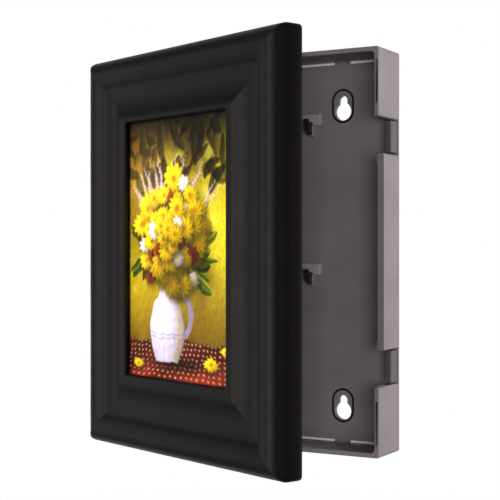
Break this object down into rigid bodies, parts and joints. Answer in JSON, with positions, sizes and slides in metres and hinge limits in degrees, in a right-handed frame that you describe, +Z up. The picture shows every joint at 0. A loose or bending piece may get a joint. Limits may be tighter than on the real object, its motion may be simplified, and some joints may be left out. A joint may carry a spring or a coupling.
{
  "type": "magnetic key holder box",
  "caption": "Shallow wall-mounted key box: drafted plastic tray with key hooks and keyhole slots, and a hinged picture-frame door held shut by magnets.",
  "frame": {"origin": "centre of the tray's rear face, in the wall plane", "axes": "+Z up, +Y into the wall, +X to the right seen from the front; the hinge is on the left and the door is shown 21.5 degrees open"},
  "size_m": [0.1868, 0.1066, 0.232],
  "materials": {
    "tray_plastic": "fine matt, light grain",
    "hook_plastic": "satin",
    "dark_plastic": "satin",
    "lug_plastic": "satin",
    "frame_finish": "dark brown satin lacquer",
    "clear_pane": "clear, polished",
    "print_paper": null,
    "backing_board": "pressed board, matt",
    "bright_steel": "zinc plated",
    "strip_steel": "dulled",
    "button_steel": "black lacquer",
    "magnet_ferrite": "matt ferrite",
    "bumper_rubber": "matt"
  },
  "bodies": {
    "case": {"tray": "tray_plastic", "hook_up_left": "hook_plastic", "hook_up_mid": "hook_plastic", "hook_up_right": "hook_plastic", "hook_low_left": "hook_plastic", "hook_low_mid": "hook_plastic", "hook_low_right": "hook_plastic", "notch_block_left_upper": "dark_plastic", "notch_block_left_lower": "dark_plastic", "notch_block_right_upper": "dark_plastic", "notch_block_right_lower": "dark_plastic", "strike_upper": "strip_steel", "strike_lower": "strip_steel", "hinge_pin_upper": "bright_steel", "hinge_pin_lower": "bright_steel"},
    "door": {"frame": "frame_finish", "pane": "clear_pane", "print": "print_paper", "backing": "backing_board", "lug_upper": "lug_plastic", "lug_lower": "lug_plastic", "lug_screws": "bright_steel", "pivot_screws": "bright_steel", "magnet_upper": "magnet_ferrite", "magnet_lower": "magnet_ferrite", "bumper_upper": "bumper_rubber", "bumper_lower": "bumper_rubber"},
    "button_top": {"turn_button_top": "button_steel"},
    "button_bottom": {"turn_button_bottom": "button_steel"},
    "button_left": {"turn_button_left": "button_steel"},
    "button_right": {"turn_button_right": "button_steel"}
  },
  "joints": [
    {"name": "door_hinge", "type": "hinge", "parent": "case", "child": "door", "pos_m": [-0.0848, -0.017, 0], "axis": [0, 0, -1], "range_deg": [-21.5, 98.5]},
    {"name": "turn_button_top", "type": "hinge", "parent": "door", "child": "button_top", "pos_m": [-0.01363, -0.06771, 0.0839], "axis": [0.3665, 0.9304, 0], "range_deg": [-110, 110]},
    {"name": "turn_button_bottom", "type": "hinge", "parent": "door", "child": "button_bottom", "pos_m": [-0.01363, -0.06771, -0.0799], "axis": [0.3665, 0.9304, 0], "range_deg": [-110, 110]},
    {"name": "turn_button_left", "type": "hinge", "parent": "door", "child": "button_left", "pos_m": [-0.06657, -0.04686, 0.002], "axis": [0.3665, 0.9304, 0], "range_deg": [-110, 110]},
    {"name": "turn_button_right", "type": "hinge", "parent": "door", "child": "button_right", "pos_m": [0.03931, -0.08857, 0.002], "axis": [0.3665, 0.9304, 0], "range_deg": [-110, 110]}
  ]
}
